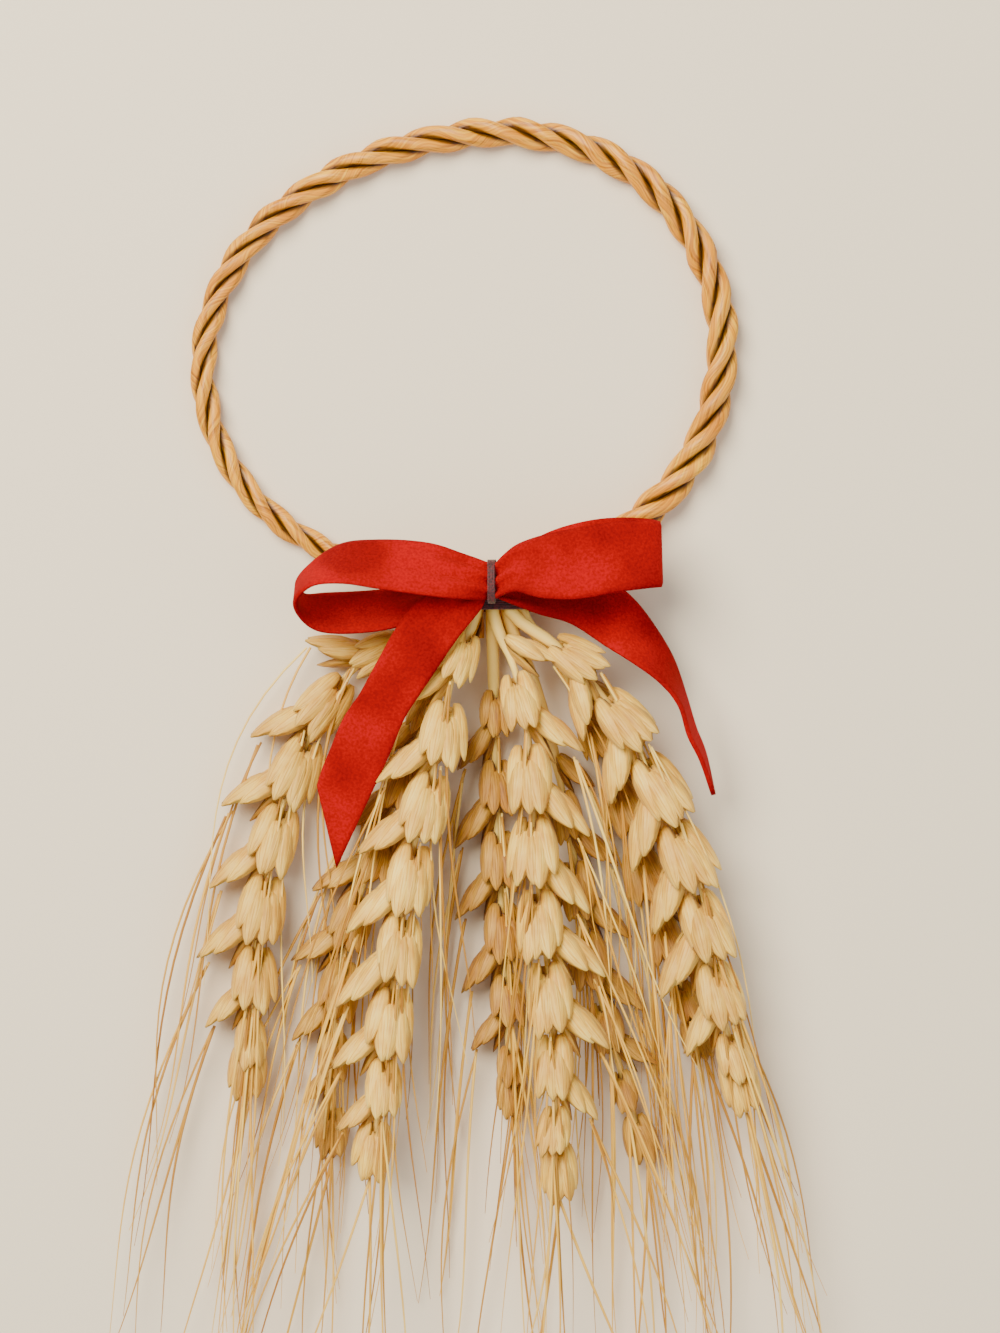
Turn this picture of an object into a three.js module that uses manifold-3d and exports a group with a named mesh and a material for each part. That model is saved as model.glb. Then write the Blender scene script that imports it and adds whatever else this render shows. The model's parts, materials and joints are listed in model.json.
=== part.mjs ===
// A straw ornament that lies on its back: a ring of three twisted strands of straw, eight bearded
// wheat ears tied below it, and a velvet ribbon bow over the tie.
// Millimetres, +Z up. The table is z = 0, the tie is at x = 0, y = 0 while the pieces are made, and
// +Y runs from the tie to the top of the ring.
import * as THREE from 'three';
import { mergeVertices } from 'three/addons/utils/BufferGeometryUtils.js';
import Module from 'manifold-3d';

const wasm = await Module();
wasm.setup();

const UP = new THREE.Vector3(0, 0, 1);
const TURN = 2 * Math.PI;
const GAP = 0.3;

// Ring: the centreline is a polar curve about its own centre, and the rope thins round the ring.
const RING = { x: -3.8, y: 33.6, mean: 35.8, high: 0.7, oval: 2.8, lean: 1.1, square: 0.6 };
const RING_FROM = -58;
const RING_TO = 248;
const RING_POINTS = 18;
const RING_START = [[2.1, -7.5, 3.3], [2.3, -2.5, 3.3], [4.4, 1.8, 3.2]];
const RING_END = [[-5.8, 1.6, 2.8], [-3, -2, 3], [-2.9, -7.5, 3]];
const ROPE_THICK = 2.85;
const ROPE_THIN = 2;
const ROPE_TIED = 2.2;
const STRANDS = 3;
const STRAND_SIDES = 5;
const ROPE_TURNS = 12;
const STEPS_PER_TURN = 8;
const FLAT_SHARE = 0.9;

// Flat seat on the inner side of the ring's top, where a hook or a nail bears.
const SEAT = { x: -1.5, halfLength: 2.6, y: 65.7, depth: 2 };

// Ears: a spine from the tie to the last spikelet, the spikelets' sizes, and the fan of awns.
const STEP = 0.25;
const SPIKELET = { rootAcross: 0.9, tipAcross: 3.9, rootEdge: 3.7, tipEdge: 5.5, high: 3.2, low: 2 };
const STEM_RADIUS = 0.9;
const STEM_SIDES = 8;
const AWN_RADIUS = 0.28;
const AWN_SIDES = 3;

const EARS = [
  {
    name: 'ear_far_left', seed: 1, pitch: 5.3, first: 16, size: 1,
    aim: -9, spread: 8, reach: 60, awnTop: 5.2,
    spine: [[-4.4, 2.5, 6.9], [-4.5, -3.6, 6.9], [-13.7, -8, 4.6], [-21.5, -13.1, 3.4], [-29.4, -27.5, 3.1],
      [-33.7, -44.6, 3.1], [-35.8, -63.3, 3.1], [-36, -70, 3.1]],
  },
  {
    name: 'ear_behind_left', seed: 2, pitch: 5.3, first: 20, size: 0.86,
    aim: -8, spread: 7, reach: 54, awnTop: 1.4,
    spine: [[-2.2, 2.5, 6.9], [-2.3, -4, 6.9], [-7.5, -12, 4.2], [-14.5, -31.6, 2.7], [-21.2, -51, 2.7],
      [-23.4, -66, 2.7], [-23.6, -80, 2.7]],
  },
  {
    name: 'ear_behind_centre', seed: 3, pitch: 5.3, first: 18, size: 0.84,
    aim: 0, spread: 6, reach: 54, awnTop: 1.2,
    spine: [[0, 2.5, 6.9], [0, -4, 6.9], [0.2, -12, 4.2], [0.7, -34.6, 2.6], [1.6, -51, 2.6],
      [2.8, -74, 2.6]],
  },
  {
    name: 'ear_behind_right', seed: 4, pitch: 5.3, first: 29, size: 0.84,
    aim: 6, spread: 6, reach: 48, awnTop: 1.8,
    spine: [[2.2, 2.5, 6.9], [2.3, -4, 6.9], [6.2, -14, 4.6], [10.4, -30, 2.8], [15, -56.1, 2.6],
      [18.4, -69, 2.6], [21.8, -81, 2.6]],
  },
  {
    name: 'ear_behind_far_right', seed: 5, pitch: 5.3, first: 19, size: 0.84,
    aim: 9, spread: 6, reach: 58, awnTop: 2.6,
    awnSide: 1,
    spine: [[4.4, 2.5, 6.9], [4.5, -3.8, 6.9], [10.6, -12, 4.4], [17.4, -26, 2.7], [21.4, -38.2, 2.6],
      [26, -52, 2.6], [30.4, -66, 2.6]],
  },
  {
    name: 'ear_centre_left', seed: 6, pitch: 5.3, first: 9.5, size: 1,
    aim: -9, spread: 11, reach: 52, awnTop: 8.6,
    spine: [[-2.2, 2.5, 9.1], [-2.5, -4, 9.1], [-5.3, -11, 9.4], [-7.9, -23.9, 9.6], [-12.2, -41.8, 9.6],
      [-15.1, -63.3, 9.4], [-17.2, -81, 9]],
  },
  {
    name: 'ear_centre_right', seed: 7, pitch: 5.3, first: 10.5, size: 1,
    aim: 7, spread: 14, reach: 52, awnTop: 10.4,
    spine: [[0, 2.5, 9.1], [0.2, -4, 9.1], [3.3, -12, 9.4], [5.1, -20.3, 9.6], [7, -45, 9.8],
      [9, -63.3, 9.6], [9.7, -84, 9.4]],
  },
  {
    name: 'ear_right', seed: 8, pitch: 5.3, first: 14, size: 1.04,
    aim: 10, spread: 7, reach: 58, awnTop: 7,
    spine: [[2.2, 2.5, 9.1], [2.6, -3.4, 9.1], [9.8, -9, 9.2], [15.4, -15, 9.2], [21, -23.4, 9],
      [28.1, -40.4, 8.8], [32.2, -56.1, 8.6], [35.8, -71, 8.4]],
  },
];

// Ribbon: each stretch is a pair of edges, given as rows of edge A and edge B from the pinch on.
const RIBBON_THICK = 0.8;
const LOOP_LIFT = 1.3;
const LEFT_LOOP = [
  [[-0.4, 3.2, 13.4], [-0.4, -2, 13.6]], [[-4, 4.4, 13.4], [-4, -1.9, 17.2]],
  [[-8.8, 6, 13.2], [-8.8, -1.5, 19.2]], [[-16.4, 6.6, 13], [-15.8, -0.6, 19.8]],
  [[-22, 6, 12], [-21.5, 0.2, 19.8]], [[-26.9, 2.8, 9.8], [-25.8, -0.2, 18.6]],
  [[-28.5, 0.5, 7.6], [-28.2, -2.4, 16.8]], [[-27.6, -1, 5.6], [-27.5, -4.8, 14.6]],
  [[-24.6, -0.9, 4.7], [-24.8, -6.6, 12.8]], [[-15.2, -0.3, 5.4], [-15.2, -6.3, 12.2]],
  [[-8, 1.4, 8], [-8, -4, 12.5]], [[-0.6, 2.8, 12.2], [-0.6, -1.8, 12.4]],
];
const RIGHT_LOOP = [
  [[0.5, 3.2, 13.6], [0.5, -2, 13.6]], [[3, 5.6, 14.4], [3.4, -1, 16.6]],
  [[6.4, 7, 14.6], [6.6, -1.8, 18]], [[12, 8.2, 14.8], [12, -2, 17]],
  [[18, 9.2, 14.4], [18, -1, 16.2]], [[22.6, 9.5, 13.4], [22.8, -0.4, 15]],
  [[24.3, 9.4, 11.4], [24.5, -0.2, 12.8]], [[22.5, 9.9, 9.4], [22.6, 0, 10.4]],
  [[16, 9.9, 8.8], [16, -0.1, 10.2]], [[9, 8.2, 9.6], [9, -1, 10.8]],
  [[3.4, 5.2, 11.2], [3.4, -1.6, 11.8]], [[0.6, 3, 12.2], [0.6, -1.8, 12.4]],
];
const LEFT_TAIL = [
  [[-0.8, 0.8, 14], [-0.8, -1.9, 14]], [[-8.6, -0.6, 15.4], [-1.4, -3.2, 14.6]],
  [[-13.4, -5.5, 14.6], [-4.9, -7.6, 14.4]], [[-16.4, -10.6, 14.2], [-7.8, -11.9, 14.2]],
  [[-19.1, -15.5, 13.6], [-10.3, -15.6, 13.8]], [[-21.5, -19.1, 12.8], [-12.6, -19.2, 13.4]],
  [[-23.6, -23.9, 11.8], [-14.8, -24.4, 12.6]], [[-24.8, -26.8, 11.2], [-18.2, -31.6, 11.2]],
  [[-25.5, -29, 10.6], [-22.7, -41.2, 9]],
];
const RIGHT_TAIL = [
  [[0.8, 0.6, 13.8], [0.8, -1.9, 14]], [[6.5, 3.6, 10], [6.4, -4, 12.4]],
  [[13.5, 3.4, 7.6], [11.6, -5.5, 10.6]], [[20.4, -1.3, 7], [16.6, -8.7, 11]],
  [[24.4, -6.4, 6.6], [20.6, -11.2, 12.4]], [[27, -11, 5.6], [24.4, -14, 13]],
  [[28.6, -16, 5], [27.2, -17.4, 13.6]], [[30, -20.6, 4.6], [28.6, -21.8, 13.4]],
  [[31.4, -24.2, 4.2], [30.4, -25.2, 12]], [[32.8, -30.7, 4.4], [32.4, -30.3, 9]],
];

// Threads: a dark one pinches the bow, and one binds the stems to the ring's two ends.
const PINCH = { halfLength: 1, yFrom: -2, yTo: 3.2, zFrom: 13.2, zTo: 15.3 };
const THREAD_RADIUS = 0.45;
const NECK = { y: -2.4, z: 5.5, halfWidth: 6.7, halfHeight: 5.15, band: 2.4, thick: 0.7 };

const STRAW = { color: 0xd8a645, roughness: 0.5, metalness: 0 };
const WHEAT = { color: 0xdcc078, roughness: 0.6, metalness: 0 };
const VELVET = { color: 0xb40210, roughness: 0.9, metalness: 0 };
const THREAD = { color: 0x3d0508, roughness: 0.8, metalness: 0 };

const vector = (p) => new THREE.Vector3(...p);
const noise = (n) => {
  const wave = Math.sin(n * 12.9898) * 43758.5453;
  return wave - Math.floor(wave);
};
const jitter = (n, size) => (2 * noise(n) - 1) * size;
const curveOf = (points) => new THREE.CatmullRomCurve3(points.map(vector), false, 'centripetal');

// A closed skin over rings of points. Each ring turns anticlockwise about the way of travel, and a
// ring of one point ends the skin in a tip.
function loft(rings) {
  const starts = [];
  let count = 0;
  for (const ring of rings) {
    starts.push(count);
    count += ring.length;
  }
  const faces = [];
  for (let k = 0; k + 1 < rings.length; k += 1) {
    const sides = Math.max(rings[k].length, rings[k + 1].length);
    const here = (i) => starts[k] + (i % rings[k].length);
    const next = (i) => starts[k + 1] + (i % rings[k + 1].length);
    for (let i = 0; i < sides; i += 1) {
      if (rings[k].length > 1) faces.push(here(i), here(i + 1), next(i + 1));
      if (rings[k + 1].length > 1) faces.push(here(i), next(i + 1), next(i));
    }
  }
  const last = starts[rings.length - 1];
  for (let i = 1; i + 1 < rings[0].length; i += 1) faces.push(0, i + 1, i);
  for (let i = 1; i + 1 < rings.at(-1).length; i += 1) faces.push(last, last + i, last + i + 1);
  const geometry = new THREE.BufferGeometry();
  const flat = rings.flat().flatMap((p) => p.toArray());
  geometry.setAttribute('position', new THREE.Float32BufferAttribute(flat, 3));
  geometry.setIndex(faces);
  return geometry;
}

// A ring of points round a centre, with half sizes along two square directions.
function oval(centre, across, above, halfAcross, halfAbove, sides, turn = 0) {
  return Array.from({ length: sides }, (_, i) => {
    const angle = turn + (TURN * i) / sides;
    return centre.clone()
      .addScaledVector(across, halfAcross * Math.cos(angle))
      .addScaledVector(above, halfAbove * Math.sin(angle));
  });
}

// The directions square to a line of travel: one level, one as near to up as can be.
function frameOf(along) {
  const across = new THREE.Vector3().crossVectors(UP, along).normalize();
  return { across, above: new THREE.Vector3().crossVectors(along, across).normalize() };
}

function solidOf(geometry) {
  const merged = mergeVertices(geometry, 1e-4);
  return new wasm.Manifold(new wasm.Mesh({
    numProp: 3,
    vertProperties: new Float32Array(merged.attributes.position.array),
    triVerts: new Uint32Array(merged.index.array),
  }));
}

function fused(geometries) {
  return geometryOf(geometries.map(solidOf).reduce((sum, piece) => sum.add(piece)));
}

function geometryOf(solid) {
  const mesh = solid.getMesh();
  const geometry = new THREE.BufferGeometry();
  geometry.setAttribute('position', new THREE.Float32BufferAttribute(mesh.vertProperties, 3));
  geometry.setIndex([...mesh.triVerts]);
  return geometry;
}

function ringPoint(degrees) {
  const angle = THREE.MathUtils.degToRad(degrees);
  const radius = RING.mean + RING.high * Math.sin(angle) + RING.oval * Math.cos(2 * angle)
    + RING.lean * Math.sin(2 * angle) - RING.square * Math.cos(3 * angle);
  const height = ropeRadius((degrees - RING_FROM) / (RING_TO - RING_FROM)) * FLAT_SHARE;
  return [RING.x + radius * Math.cos(angle), RING.y + radius * Math.sin(angle), height];
}

// The rope is thickest on the right and thins on its way round, and the tie draws its ends in.
function ropeRadius(share) {
  const free = THREE.MathUtils.lerp(ROPE_THICK, ROPE_THIN, Math.min(1, share * 1.25));
  return Math.min(free, ROPE_TIED + share * 12);
}

function ringPath() {
  const points = [...RING_START];
  for (let i = 0; i <= RING_POINTS; i += 1) {
    points.push(ringPoint(RING_FROM + ((RING_TO - RING_FROM) * i) / RING_POINTS));
  }
  return curveOf([...points, ...RING_END]);
}

function block(from, to) {
  const size = new THREE.Vector3().subVectors(vector(to), vector(from));
  const box = new THREE.BoxGeometry(...size);
  box.deleteAttribute('normal');
  box.deleteAttribute('uv');
  return box.translate((from[0] + to[0]) / 2, (from[1] + to[1]) / 2, (from[2] + to[2]) / 2);
}

// The underside is pressed flat on the table, and the seat is a flat on the inner side of the top.
function pressedFlat(geometry) {
  const under = block([-RING.mean * 2, -RING.mean, -ROPE_THICK], [RING.mean * 2, RING.mean * 3, 0]);
  const seat = block([SEAT.x - SEAT.halfLength, SEAT.y - SEAT.depth, 0],
    [SEAT.x + SEAT.halfLength, SEAT.y, 2 * ROPE_THICK]);
  return geometryOf(solidOf(geometry).subtract(solidOf(under)).subtract(solidOf(seat)));
}

function ropeStrand(index) {
  const path = ringPath();
  const steps = ROPE_TURNS * STEPS_PER_TURN;
  const rings = [];
  for (let k = 0; k <= steps; k += 1) {
    const share = k / steps;
    const { across, above } = frameOf(path.getTangentAt(share));
    const turn = TURN * (ROPE_TURNS * share + index / STRANDS);
    const radius = ropeRadius(share);
    const strand = (radius * Math.sin(Math.PI / STRANDS) - GAP / 2) / (1 + Math.sin(Math.PI / STRANDS));
    const offset = radius - strand;
    const centre = path.getPointAt(share)
      .addScaledVector(across, offset * Math.cos(turn))
      .addScaledVector(above, offset * Math.sin(turn));
    rings.push(oval(centre, across, above, strand, strand, STRAND_SIDES, turn));
  }
  return pressedFlat(loft(rings));
}

function abovePlane(point) {
  point.z = Math.max(point.z, 0);
  return point;
}

function awn(tip, heading, length, topZ) {
  const angle = THREE.MathUtils.degToRad(heading - 90);
  const end = tip.clone().add(new THREE.Vector3(length * Math.cos(angle), length * Math.sin(angle), 0));
  end.z = topZ;
  const along = end.clone().sub(tip).normalize();
  const { across, above } = frameOf(along);
  const ring = (share, full) => oval(tip.clone().lerp(end, share), across, above, AWN_RADIUS * full,
    AWN_RADIUS * full, AWN_SIDES, Math.PI / 2);
  return loft([ring(-0.02, 1), ring(0.5, 0.85), [end]]);
}

// The ear is slim where it opens at the stem and where it closes at the end.
function fullness(index, count) {
  return Math.min(1, 0.5 + 0.17 * index, 0.55 + 0.15 * (count - 1 - index));
}

// One section of an ear. Its two rows of spikelets are saw teeth half a tooth apart: the ridge and
// the edge of each row move out from root to tip and step back in at the next root.
function earSection(centre, across, above, size, leftShare, rightShare) {
  const lerp = THREE.MathUtils.lerp;
  const point = (sideways, up) => abovePlane(centre.clone()
    .addScaledVector(across, sideways * size)
    .addScaledVector(above, up * size));
  const ridge = (share) => lerp(SPIKELET.rootAcross, SPIKELET.tipAcross, share);
  const edge = (share) => lerp(SPIKELET.rootEdge, SPIKELET.tipEdge, share);
  const rise = (share) => lerp(SPIKELET.high, SPIKELET.high * 0.8, share);
  const middle = SPIKELET.low * (0.8 + 0.4 * Math.abs(leftShare - rightShare));
  return [
    point(edge(leftShare), 0.3), point(ridge(leftShare), rise(leftShare)), point(0, middle),
    point(-ridge(rightShare), rise(rightShare)), point(-edge(rightShare), 0.3),
    point(-ridge(rightShare), -rise(rightShare)), point(0, -middle),
    point(ridge(leftShare), -rise(leftShare)),
  ];
}

function stemRings(path, to) {
  const length = path.getLength();
  return [0, 0.3, 0.62, 1].map((part) => {
    const share = (to * part) / length;
    const { across, above } = frameOf(path.getTangentAt(share));
    return oval(path.getPointAt(share), across, above, STEM_RADIUS, STEM_RADIUS, STEM_SIDES);
  });
}

function ear(spec) {
  const path = curveOf(spec.spine);
  const length = path.getLength();
  const count = Math.floor((length - spec.first) / spec.pitch);
  const rings = stemRings(path, spec.first - 1.5);
  const awns = [];
  for (let i = 0; i < count; i += 1) {
    const root = spec.first + i * spec.pitch;
    const side = i % 2 === 0 ? 1 : -1;
    const seed = spec.seed * 100 + i;
    const size = spec.size * (fullness(i, count) + jitter(seed, 0.05));
    for (const [shift, ownShare, otherShare] of [[-STEP, 1, 0.46], [STEP, 0, 0.54]]) {
      const at = (root + shift) / length;
      const { across, above } = frameOf(path.getTangentAt(at));
      const shares = side > 0 ? [ownShare, otherShare] : [otherShare, ownShare];
      rings.push(earSection(path.getPointAt(at), across, above, size, ...shares));
    }
    const skipped = i < 3 || i % 2 === Math.floor(i / 2) % 2 || (spec.awnSide && side !== spec.awnSide);
    if (!skipped) awns.push(earAwn(spec, path, root / length, side, size, seed));
  }
  rings.push([path.getPointAt(1)]);
  const along = path.getTangentAt(1);
  const tip = path.getPointAt(1).addScaledVector(along, -2);
  return fused([loft(rings), ...awns, awn(tip, spec.aim, spec.reach * 0.85, spec.awnTop)]);
}

// An awn leaves the tip of the tooth that ends at a share of the spine.
function earAwn(spec, path, share, side, size, seed) {
  const { across, above } = frameOf(path.getTangentAt(share));
  const tip = path.getPointAt(share)
    .addScaledVector(across, side * SPIKELET.tipAcross * size)
    .addScaledVector(above, 0.6 * size);
  const heading = spec.aim + side * spec.spread * (0.25 + 0.75 * noise(seed + 0.5));
  const length = spec.reach * (0.8 + 0.3 * noise(seed + 0.7));
  return awn(tip, heading, length, spec.awnTop + jitter(seed + 0.9, 0.3));
}

// A flat ribbon between two edges, with square sides.
function strip(rows, steps, lift = 0) {
  const edge = (which) => curveOf(rows.map((row) => [row[which][0], row[which][1], row[which][2] + lift]));
  const [edgeA, edgeB] = [edge(0), edge(1)];
  const rings = [];
  for (let k = 0; k <= steps; k += 1) {
    const a = edgeA.getPoint(k / steps);
    const b = edgeB.getPoint(k / steps);
    const along = edgeA.getTangent(k / steps).add(edgeB.getTangent(k / steps)).normalize();
    const across = a.clone().sub(b).normalize();
    const out = new THREE.Vector3().crossVectors(along, across).normalize().multiplyScalar(RIBBON_THICK / 2);
    rings.push([a.clone().sub(out), a.clone().add(out), b.clone().add(out), b.clone().sub(out)]);
  }
  return loft(rings);
}

function pinchBlock() {
  const { halfLength, yFrom, yTo, zFrom, zTo } = PINCH;
  return block([-halfLength, yFrom, zFrom], [halfLength, yTo, zTo]);
}

function ribbonBow() {
  return fused([
    pinchBlock(), strip(LEFT_LOOP, 22, LOOP_LIFT), strip(RIGHT_LOOP, 20, LOOP_LIFT), strip(LEFT_TAIL, 10),
    strip(RIGHT_TAIL, 12),
  ]);
}

// A closed loop of cord: an oval path in the plane of two directions, with an oval section.
function hoop(centre, first, second, halfFirst, halfSecond, halfBand, halfThick, steps) {
  const normal = new THREE.Vector3().crossVectors(first, second);
  const positions = [];
  for (let k = 0; k < steps; k += 1) {
    const angle = (TURN * k) / steps;
    const out = first.clone().multiplyScalar(Math.cos(angle)).addScaledVector(second, Math.sin(angle));
    const at = centre.clone()
      .addScaledVector(first, halfFirst * squared(Math.cos(angle)))
      .addScaledVector(second, halfSecond * squared(Math.sin(angle)));
    positions.push(...oval(at, out, normal, halfThick, halfBand, 6));
  }
  const faces = [];
  for (let k = 0; k < steps; k += 1) {
    const next = (k + 1) % steps;
    for (let i = 0; i < 6; i += 1) {
      const j = (i + 1) % 6;
      faces.push(6 * k + i, 6 * next + i, 6 * next + j, 6 * k + i, 6 * next + j, 6 * k + j);
    }
  }
  const geometry = new THREE.BufferGeometry();
  const flat = positions.flatMap((p) => p.toArray());
  geometry.setAttribute('position', new THREE.Float32BufferAttribute(flat, 3));
  geometry.setIndex(faces);
  return geometry;
}

// Rounds an oval path towards a rectangle.
const squared = (value) => Math.sign(value) * Math.abs(value) ** 0.7;

function bowThread() {
  const { yFrom, yTo, zFrom, zTo } = PINCH;
  const centre = new THREE.Vector3(0, (yFrom + yTo) / 2, (zFrom + zTo) / 2);
  const room = GAP + THREAD_RADIUS + 0.5;
  return hoop(centre, new THREE.Vector3(0, 1, 0), UP, (yTo - yFrom) / 2 + room, (zTo - zFrom) / 2 + room,
    THREAD_RADIUS, THREAD_RADIUS, 12);
}

function neckThread() {
  const centre = new THREE.Vector3(0, NECK.y, NECK.z);
  return hoop(centre, new THREE.Vector3(1, 0, 0), UP, NECK.halfWidth, NECK.halfHeight,
    NECK.band / 2, NECK.thick / 2, 16);
}

function named(name, geometry, look) {
  const mesh = new THREE.Mesh(geometry, new THREE.MeshStandardMaterial(look));
  mesh.name = name;
  return mesh;
}

const ornament = new THREE.Group();
for (let i = 0; i < STRANDS; i += 1) ornament.add(named(`rope_strand_${i + 1}`, ropeStrand(i), STRAW));
for (const spec of EARS) ornament.add(named(spec.name, ear(spec), WHEAT));
ornament.add(named('ribbon_bow', ribbonBow(), VELVET));
ornament.add(named('bow_thread', bowThread(), THREAD));
ornament.add(named('neck_thread', neckThread(), THREAD));

// The origin is the middle of the underside.
const bounds = new THREE.Box3().setFromObject(ornament);
const middle = bounds.getCenter(new THREE.Vector3());
ornament.position.set(-middle.x, -middle.y, -bounds.min.z);

export default ornament;
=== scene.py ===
"""A straw ornament on its back: a ring of twisted straw, eight bearded wheat ears and a velvet bow.

Lengths in the tables and settings are in millimetres from the tie, and become metres in the frame
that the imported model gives.
"""

import json
import math

import bpy
from mathutils import Matrix, Vector

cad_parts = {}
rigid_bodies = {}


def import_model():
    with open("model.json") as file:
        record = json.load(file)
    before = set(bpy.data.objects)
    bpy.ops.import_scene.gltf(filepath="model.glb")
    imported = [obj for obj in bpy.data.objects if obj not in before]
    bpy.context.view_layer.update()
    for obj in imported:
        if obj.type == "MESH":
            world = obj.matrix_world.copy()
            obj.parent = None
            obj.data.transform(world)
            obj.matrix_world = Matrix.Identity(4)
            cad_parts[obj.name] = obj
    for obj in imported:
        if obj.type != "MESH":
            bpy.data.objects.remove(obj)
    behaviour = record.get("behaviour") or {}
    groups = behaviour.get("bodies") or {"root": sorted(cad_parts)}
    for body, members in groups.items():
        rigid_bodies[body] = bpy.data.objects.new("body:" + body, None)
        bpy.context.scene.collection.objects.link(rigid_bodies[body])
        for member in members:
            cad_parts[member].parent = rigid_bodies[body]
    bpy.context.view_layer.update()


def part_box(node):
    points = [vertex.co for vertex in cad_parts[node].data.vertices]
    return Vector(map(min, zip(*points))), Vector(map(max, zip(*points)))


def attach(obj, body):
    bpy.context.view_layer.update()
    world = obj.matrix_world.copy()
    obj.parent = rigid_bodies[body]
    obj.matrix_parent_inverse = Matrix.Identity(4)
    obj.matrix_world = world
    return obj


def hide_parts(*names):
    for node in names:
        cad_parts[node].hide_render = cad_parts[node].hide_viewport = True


bl_info = {
    "name": "Straw ornament",
    "version": (1, 0, 0),
    "blender": (4, 5, 0),
    "location": "View3D > Sidebar > Straw ornament",
    "description": "Builds a harvest straw ornament over its packed frame",
    "category": "Object",
}

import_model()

MM = 0.001
UP = Vector((0, 0, 1))
TURN = 2 * math.pi
STRANDS = ("rope_strand_1", "rope_strand_2", "rope_strand_3")

# A scale of chaff: where its sections are along it, and one section's points, sideways and up
# as shares of its half width and its depth. The last three are its hollow inner side.
SCALE_STATIONS = (0.0, 0.1, 0.28, 0.5, 0.72, 0.88, 1.0)
SCALE_HOLLOW = 0.35
SCALE_SECTION = (
    (1, 0), (0.72, 0.62), (0.28, 0.93), (0, 1.08), (-0.28, 0.93), (-0.72, 0.62), (-1, 0),
    (-0.55, SCALE_HOLLOW), (0, SCALE_HOLLOW * 1.4), (0.55, SCALE_HOLLOW),
)

# The ring's centreline is a polar curve about its own centre.
RING = {"x": -3.8, "y": 33.6, "mean": 35.8, "high": 0.7, "oval": 2.8, "lean": 1.1, "square": 0.6}
RING_FROM, RING_TO, RING_POINTS = -58, 248, 18
RING_START = [(2.1, -7.5, 3.3), (2.3, -2.5, 3.3), (4.4, 1.8, 3.2)]
RING_END = [(-5.8, 1.6, 2.8), (-3, -2, 3), (-2.9, -7.5, 3)]

# Each ear: its spine, where its first spikelet sits, its size, the side whose row of spikelets
# faces up, the way its awns fan, and how deep in the bundle it lies: painted shade darkens its
# chaff by that depth.
EARS = {
    "ear_far_left": {
        "seed": 1, "first": 16, "size": 1, "front": 1, "aim": -9, "spread": 8, "reach": 60,
        "awn_top": 5.2, "depth": 0.25,
        "spine": [(-4.4, 2.5, 6.9), (-4.5, -3.6, 6.9), (-13.7, -8, 4.6), (-21.5, -13.1, 3.4),
                  (-29.4, -27.5, 3.1), (-33.7, -44.6, 3.1), (-35.8, -63.3, 3.1), (-36, -70, 3.1)],
    },
    "ear_behind_left": {
        "seed": 2, "first": 20, "size": 0.86, "front": 1, "aim": -8, "spread": 7, "reach": 54,
        "awn_top": 1.4, "depth": 0.8,
        "spine": [(-2.2, 2.5, 6.9), (-2.3, -4, 6.9), (-7.5, -12, 4.2), (-14.5, -31.6, 2.7),
                  (-21.2, -51, 2.7), (-23.4, -66, 2.7), (-23.6, -80, 2.7)],
    },
    "ear_behind_centre": {
        "seed": 3, "first": 18, "size": 0.84, "front": 1, "aim": 0, "spread": 6, "reach": 54,
        "awn_top": 1.2, "depth": 1,
        "spine": [(0, 2.5, 6.9), (0, -4, 6.9), (0.2, -12, 4.2), (0.7, -34.6, 2.6), (1.6, -51, 2.6),
                  (2.8, -74, 2.6)],
    },
    "ear_behind_right": {
        "seed": 4, "first": 29, "size": 0.84, "front": -1, "aim": 6, "spread": 6, "reach": 48,
        "awn_top": 1.8, "depth": 0.9,
        "spine": [(2.2, 2.5, 6.9), (2.3, -4, 6.9), (6.2, -14, 4.6), (10.4, -30, 2.8),
                  (15, -56.1, 2.6), (18.4, -69, 2.6), (21.8, -81, 2.6)],
    },
    "ear_behind_far_right": {
        "seed": 5, "first": 19, "size": 0.84, "front": -1, "aim": 9, "spread": 6, "reach": 58,
        "awn_top": 2.6, "depth": 0.8,
        "spine": [(4.4, 2.5, 6.9), (4.5, -3.8, 6.9), (10.6, -12, 4.4), (17.4, -26, 2.7),
                  (21.4, -38.2, 2.6), (26, -52, 2.6), (30.4, -66, 2.6)],
    },
    "ear_centre_left": {
        "seed": 6, "first": 9.5, "size": 1, "front": 1, "aim": -9, "spread": 11, "reach": 52,
        "awn_top": 8.6, "depth": 0,
        "spine": [(-2.2, 2.5, 9.1), (-2.5, -4, 9.1), (-5.3, -11, 9.4), (-7.9, -23.9, 9.6),
                  (-12.2, -41.8, 9.6), (-15.1, -63.3, 9.4), (-17.2, -81, 9)],
    },
    "ear_centre_right": {
        "seed": 7, "first": 10.5, "size": 1, "front": -1, "aim": 7, "spread": 14, "reach": 52,
        "awn_top": 10.4, "depth": 0,
        "spine": [(0, 2.5, 9.1), (0.2, -4, 9.1), (3.3, -12, 9.4), (5.1, -20.3, 9.6), (7, -45, 9.8),
                  (9, -63.3, 9.6), (9.7, -84, 9.4)],
    },
    "ear_right": {
        "seed": 8, "first": 14, "size": 1.04, "front": 1, "aim": 10, "spread": 7, "reach": 58,
        "awn_top": 7, "depth": 0.15,
        "spine": [(2.2, 2.5, 9.1), (2.6, -3.4, 9.1), (9.8, -9, 9.2), (15.4, -15, 9.2),
                  (21, -23.4, 9), (28.1, -40.4, 8.8), (32.2, -56.1, 8.6), (35.8, -71, 8.4)],
    },
}

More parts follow.
